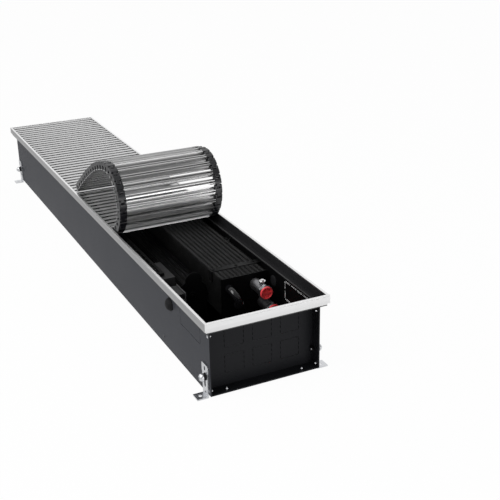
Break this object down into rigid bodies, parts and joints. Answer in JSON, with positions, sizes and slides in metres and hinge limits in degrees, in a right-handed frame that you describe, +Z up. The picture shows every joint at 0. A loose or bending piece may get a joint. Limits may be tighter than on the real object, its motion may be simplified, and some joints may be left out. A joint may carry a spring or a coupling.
{
  "type": "trench convector heater",
  "caption": "Long sheet-metal floor trench with wavy-fin heat exchanger, tangential fan, levelling feet, metal edge frame and a roll-up slat grille partly rolled back.",
  "frame": {"origin": "centre of the bounding box seen from above, at the underside of the feet", "axes": "+X across the trough from the fan side to the heat exchanger side, +Y along the trough from the pipe connections at the near end to the far end, +Z up"},
  "size_m": [0.2682, 1.426, 0.2994],
  "materials": {
    "powder_coat": "graphite powder coat, fine texture",
    "anodised": "natural anodised, fine brushed",
    "zinc": "bright zinc plated",
    "nickel": "nickel plated",
    "rubber_black": "matt",
    "link_plastic": "moulded, slightly shiny",
    "black_coat": "matt black coat",
    "tube_coat": "black coat, glossy",
    "housing_plastic": "matt",
    "fan_metal": "mill finish",
    "lid_plastic": "light grey",
    "cap_red": "red, slightly shiny",
    "fitting": "plated"
  },
  "bodies": {
    "trough_body": {"trough": "powder_coat", "end_plate_near": "powder_coat", "end_plate_far": "powder_coat", "frame_left": "anodised", "frame_right": "anodised", "frame_near": "anodised", "frame_far": "anodised", "frame_corner_keys": "fan_metal", "seat_strips": "rubber_black", "small_hardware": "zinc", "cables_and_grommets": "rubber_black", "bracket_bolts": "zinc", "grille_rails": "powder_coat", "exchanger_fins": "black_coat", "exchanger_tubes": "tube_coat", "return_bends": "tube_coat", "exchanger_supports": "black_coat", "pipe_header": "fitting", "bleed_valve": "nickel", "fan_housing": "housing_plastic", "fan_brackets": "black_coat", "inlet_guard": "black_coat", "fan_motor": "black_coat", "junction_box": "housing_plastic", "junction_box_lid": "lid_plastic"},
    "laid_grille": {"laid_slats": "anodised", "laid_links": "link_plastic"},
    "level_bracket_near_left_body": {"level_bracket_near_left": "zinc"},
    "level_bracket_near_right_body": {"level_bracket_near_right": "zinc"},
    "level_bracket_far_left_body": {"level_bracket_far_left": "zinc"},
    "level_bracket_far_right_body": {"level_bracket_far_right": "zinc"},
    "fan_rotor_body": {"fan_rotor": "fan_metal"},
    "bleed_screw_body": {"bleed_screw": "nickel"},
    "supply_cap_body": {"supply_cap": "cap_red"},
    "return_cap_body": {"return_cap": "cap_red"},
    "roll_slat_01_body": {"roll_slat_01": "anodised"},
    "roll_slat_02_body": {"roll_slat_02": "anodised"},
    "roll_slat_03_body": {"roll_slat_03": "anodised"},
    "roll_slat_04_body": {"roll_slat_04": "anodised"},
    "roll_slat_05_body": {"roll_slat_05": "anodised"},
    "roll_slat_06_body": {"roll_slat_06": "anodised"},
    "roll_slat_07_body": {"roll_slat_07": "anodised"},
    "roll_slat_08_body": {"roll_slat_08": "anodised"},
    "roll_slat_09_body": {"roll_slat_09": "anodised"},
    "roll_slat_10_body": {"roll_slat_10": "anodised"},
    "roll_slat_11_body": {"roll_slat_11": "anodised"},
    "roll_slat_12_body": {"roll_slat_12": "anodised"},
    "roll_slat_13_body": {"roll_slat_13": "anodised"},
    "roll_slat_14_body": {"roll_slat_14": "anodised"},
    "roll_slat_15_body": {"roll_slat_15": "anodised"},
    "roll_slat_16_body": {"roll_slat_16": "anodised"},
    "roll_slat_17_body": {"roll_slat_17": "anodised"},
    "roll_slat_18_body": {"roll_slat_18": "anodised"},
    "roll_slat_19_body": {"roll_slat_19": "anodised"},
    "roll_slat_20_body": {"roll_slat_20": "anodised"},
    "roll_slat_21_body": {"roll_slat_21": "anodised"},
    "roll_slat_22_body": {"roll_slat_22": "anodised"},
    "roll_slat_23_body": {"roll_slat_23": "anodised"},
    "roll_slat_24_body": {"roll_slat_24": "anodised"},
    "roll_slat_25_body": {"roll_slat_25": "anodised"}
  },
  "joints": [
    {"name": "grille_lift", "type": "slide", "parent": "trough_body", "child": "laid_grille", "axis": [0, 0, 1], "range_m": [0, 0.15]},
    {"name": "level_near_left", "type": "slide", "parent": "trough_body", "child": "level_bracket_near_left_body", "axis": [0, 0, 1], "range_m": [-0.0055, 0.0165]},
    {"name": "level_near_right", "type": "slide", "parent": "trough_body", "child": "level_bracket_near_right_body", "axis": [0, 0, 1], "range_m": [-0.0055, 0.0165]},
    {"name": "level_far_left", "type": "slide", "parent": "trough_body", "child": "level_bracket_far_left_body", "axis": [0, 0, 1], "range_m": [-0.0055, 0.0165]},
    {"name": "level_far_right", "type": "slide", "parent": "trough_body", "child": "level_bracket_far_right_body", "axis": [0, 0, 1], "range_m": [-0.0055, 0.0165]},
    {"name": "fan_spin", "type": "hinge", "parent": "trough_body", "child": "fan_rotor_body", "pos_m": [-0.034, 0, 0.08], "axis": [0, 1, 0], "continuous": true},
    {"name": "bleed_screw_turn", "type": "hinge", "parent": "trough_body", "child": "bleed_screw_body", "pos_m": [0.074, -0.54, 0.13], "axis": [0, 0, 1], "range_deg": [0, 360]},
    {"name": "supply_cap_pull", "type": "slide", "parent": "trough_body", "child": "supply_cap_body", "axis": [0, -1, 0], "range_m": [0, 0.04]},
    {"name": "return_cap_pull", "type": "slide", "parent": "trough_body", "child": "return_cap_body", "axis": [0, -1, 0], "range_m": [0, 0.04]},
    {"name": "roll_link_01", "type": "hinge", "parent": "laid_grille", "child": "roll_slat_01_body", "pos_m": [0, -0.19475, 0.1461], "axis": [1, 0, 0], "range_deg": [0, 15]},
    {"name": "roll_link_02", "type": "hinge", "parent": "roll_slat_01_body", "child": "roll_slat_02_body", "pos_m": [0, -0.21455, 0.15141], "axis": [1, 0, 0], "range_deg": [0, 15]},
    {"name": "roll_link_03", "type": "hinge", "parent": "roll_slat_02_body", "child": "roll_slat_03_body", "pos_m": [0, -0.23231, 0.16166], "axis": [1, 0, 0], "range_deg": [0, 15]},
    {"name": "roll_link_04", "type": "hinge", "parent": "roll_slat_03_body", "child": "roll_slat_04_body", "pos_m": [0, -0.2468, 0.17615], "axis": [1, 0, 0], "range_deg": [0, 15]},
    {"name": "roll_link_05", "type": "hinge", "parent": "roll_slat_04_body", "child": "roll_slat_05_body", "pos_m": [0, -0.25705, 0.1939], "axis": [1, 0, 0], "range_deg": [0, 16]},
    {"name": "roll_link_06", "type": "hinge", "parent": "roll_slat_05_body", "child": "roll_slat_06_body", "pos_m": [0, -0.26201, 0.2138], "axis": [1, 0, 0], "range_deg": [0, 16]},
    {"name": "roll_link_07", "type": "hinge", "parent": "roll_slat_06_body", "child": "roll_slat_07_body", "pos_m": [0, -0.26129, 0.23428], "axis": [1, 0, 0], "range_deg": [0, 16]},
    {"name": "roll_link_08", "type": "hinge", "parent": "roll_slat_07_body", "child": "roll_slat_08_body", "pos_m": [0, -0.25496, 0.25378], "axis": [1, 0, 0], "range_deg": [0, 16]},
    {"name": "roll_link_09", "type": "hinge", "parent": "roll_slat_08_body", "child": "roll_slat_09_body", "pos_m": [0, -0.2435, 0.27078], "axis": [1, 0, 0], "range_deg": [0, 16]},
    {"name": "roll_link_10", "type": "hinge", "parent": "roll_slat_09_body", "child": "roll_slat_10_body", "pos_m": [0, -0.22779, 0.28395], "axis": [1, 0, 0], "range_deg": [0, 16]},
    {"name": "roll_link_11", "type": "hinge", "parent": "roll_slat_10_body", "child": "roll_slat_11_body", "pos_m": [0, -0.20906, 0.29229], "axis": [1, 0, 0], "range_deg": [0, 16]},
    {"name": "roll_link_12", "type": "hinge", "parent": "roll_slat_11_body", "child": "roll_slat_12_body", "pos_m": [0, -0.18876, 0.29514], "axis": [1, 0, 0], "range_deg": [0, 16]},
    {"name": "roll_link_13", "type": "hinge", "parent": "roll_slat_12_body", "child": "roll_slat_13_body", "pos_m": [0, -0.16846, 0.29229], "axis": [1, 0, 0], "range_deg": [0, 4]},
    {"name": "roll_link_14", "type": "hinge", "parent": "roll_slat_13_body", "child": "roll_slat_14_body", "pos_m": [0, -0.14841, 0.28803], "axis": [1, 0, 0], "range_deg": [0, 4]},
    {"name": "roll_link_15", "type": "hinge", "parent": "roll_slat_14_body", "child": "roll_slat_15_body", "pos_m": [0, -0.12871, 0.28238], "axis": [1, 0, 0], "range_deg": [0, 4]},
    {"name": "roll_link_16", "type": "hinge", "parent": "roll_slat_15_body", "child": "roll_slat_16_body", "pos_m": [0, -0.10944, 0.27537], "axis": [1, 0, 0], "range_deg": [0, 4]},
    {"name": "roll_link_17", "type": "hinge", "parent": "roll_slat_16_body", "child": "roll_slat_17_body", "pos_m": [0, -0.09071, 0.26703], "axis": [1, 0, 0], "range_deg": [0, 4]},
    {"name": "roll_link_18", "type": "hinge", "parent": "roll_slat_17_body", "child": "roll_slat_18_body", "pos_m": [0, -0.07261, 0.2574], "axis": [1, 0, 0], "range_deg": [0, 1]},
    {"name": "roll_link_19", "type": "hinge", "parent": "roll_slat_18_body", "child": "roll_slat_19_body", "pos_m": [0, -0.05468, 0.24747], "axis": [1, 0, 0], "range_deg": [0, 1]},
    {"name": "roll_link_20", "type": "hinge", "parent": "roll_slat_19_body", "child": "roll_slat_20_body", "pos_m": [0, -0.03693, 0.23722], "axis": [1, 0, 0], "range_deg": [0, 1]},
    {"name": "roll_link_21", "type": "hinge", "parent": "roll_slat_20_body", "child": "roll_slat_21_body", "pos_m": [0, -0.01936, 0.22666], "axis": [1, 0, 0], "range_deg": [0, 1]},
    {"name": "roll_link_22", "type": "hinge", "parent": "roll_slat_21_body", "child": "roll_slat_22_body", "pos_m": [0, -0.00197, 0.21579], "axis": [1, 0, 0], "range_deg": [0, 1]},
    {"name": "roll_link_23", "type": "hinge", "parent": "roll_slat_22_body", "child": "roll_slat_23_body", "pos_m": [0, 0.01522, 0.20463], "axis": [1, 0, 0], "range_deg": [0, 1]},
    {"name": "roll_link_24", "type": "hinge", "parent": "roll_slat_23_body", "child": "roll_slat_24_body", "pos_m": [0, 0.03221, 0.19317], "axis": [1, 0, 0], "range_deg": [0, 1]},
    {"name": "roll_link_25", "type": "hinge", "parent": "roll_slat_24_body", "child": "roll_slat_25_body", "pos_m": [0, 0.04901, 0.18141], "axis": [1, 0, 0], "range_deg": [0, 1]}
  ]
}
